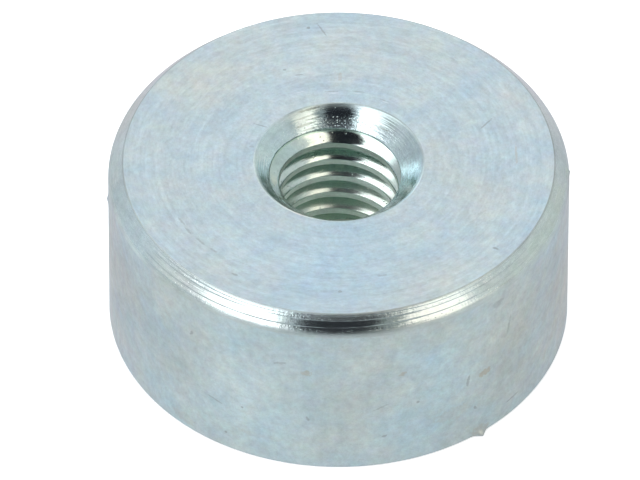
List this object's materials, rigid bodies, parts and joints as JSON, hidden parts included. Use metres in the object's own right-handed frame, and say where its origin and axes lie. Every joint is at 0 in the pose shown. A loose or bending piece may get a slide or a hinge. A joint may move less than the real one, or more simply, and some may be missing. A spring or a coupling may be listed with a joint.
{
  "type": "pot magnet",
  "caption": "Low turned steel pot magnet: round zinc-plated body with a chamfered rim, a countersunk threaded hole in its back and a magnet potted flush in its holding face.",
  "frame": {"origin": "centre of the holding face, on the surface that the magnet stands on", "axes": "+Z along the body's axis, from the holding face out through the threaded hole in the back face; X and Y are free, the part is round"},
  "size_m": [0.016, 0.016, 0.007],
  "materials": {
    "zinc_plated_steel": "satin",
    "nickel_plated_magnet": "satin",
    "potting_resin": "matte"
  },
  "bodies": {
    "root": {"pot": "zinc_plated_steel", "magnet_disc": "nickel_plated_magnet", "potting_ring": "potting_resin"}
  },
  "joints": []
}
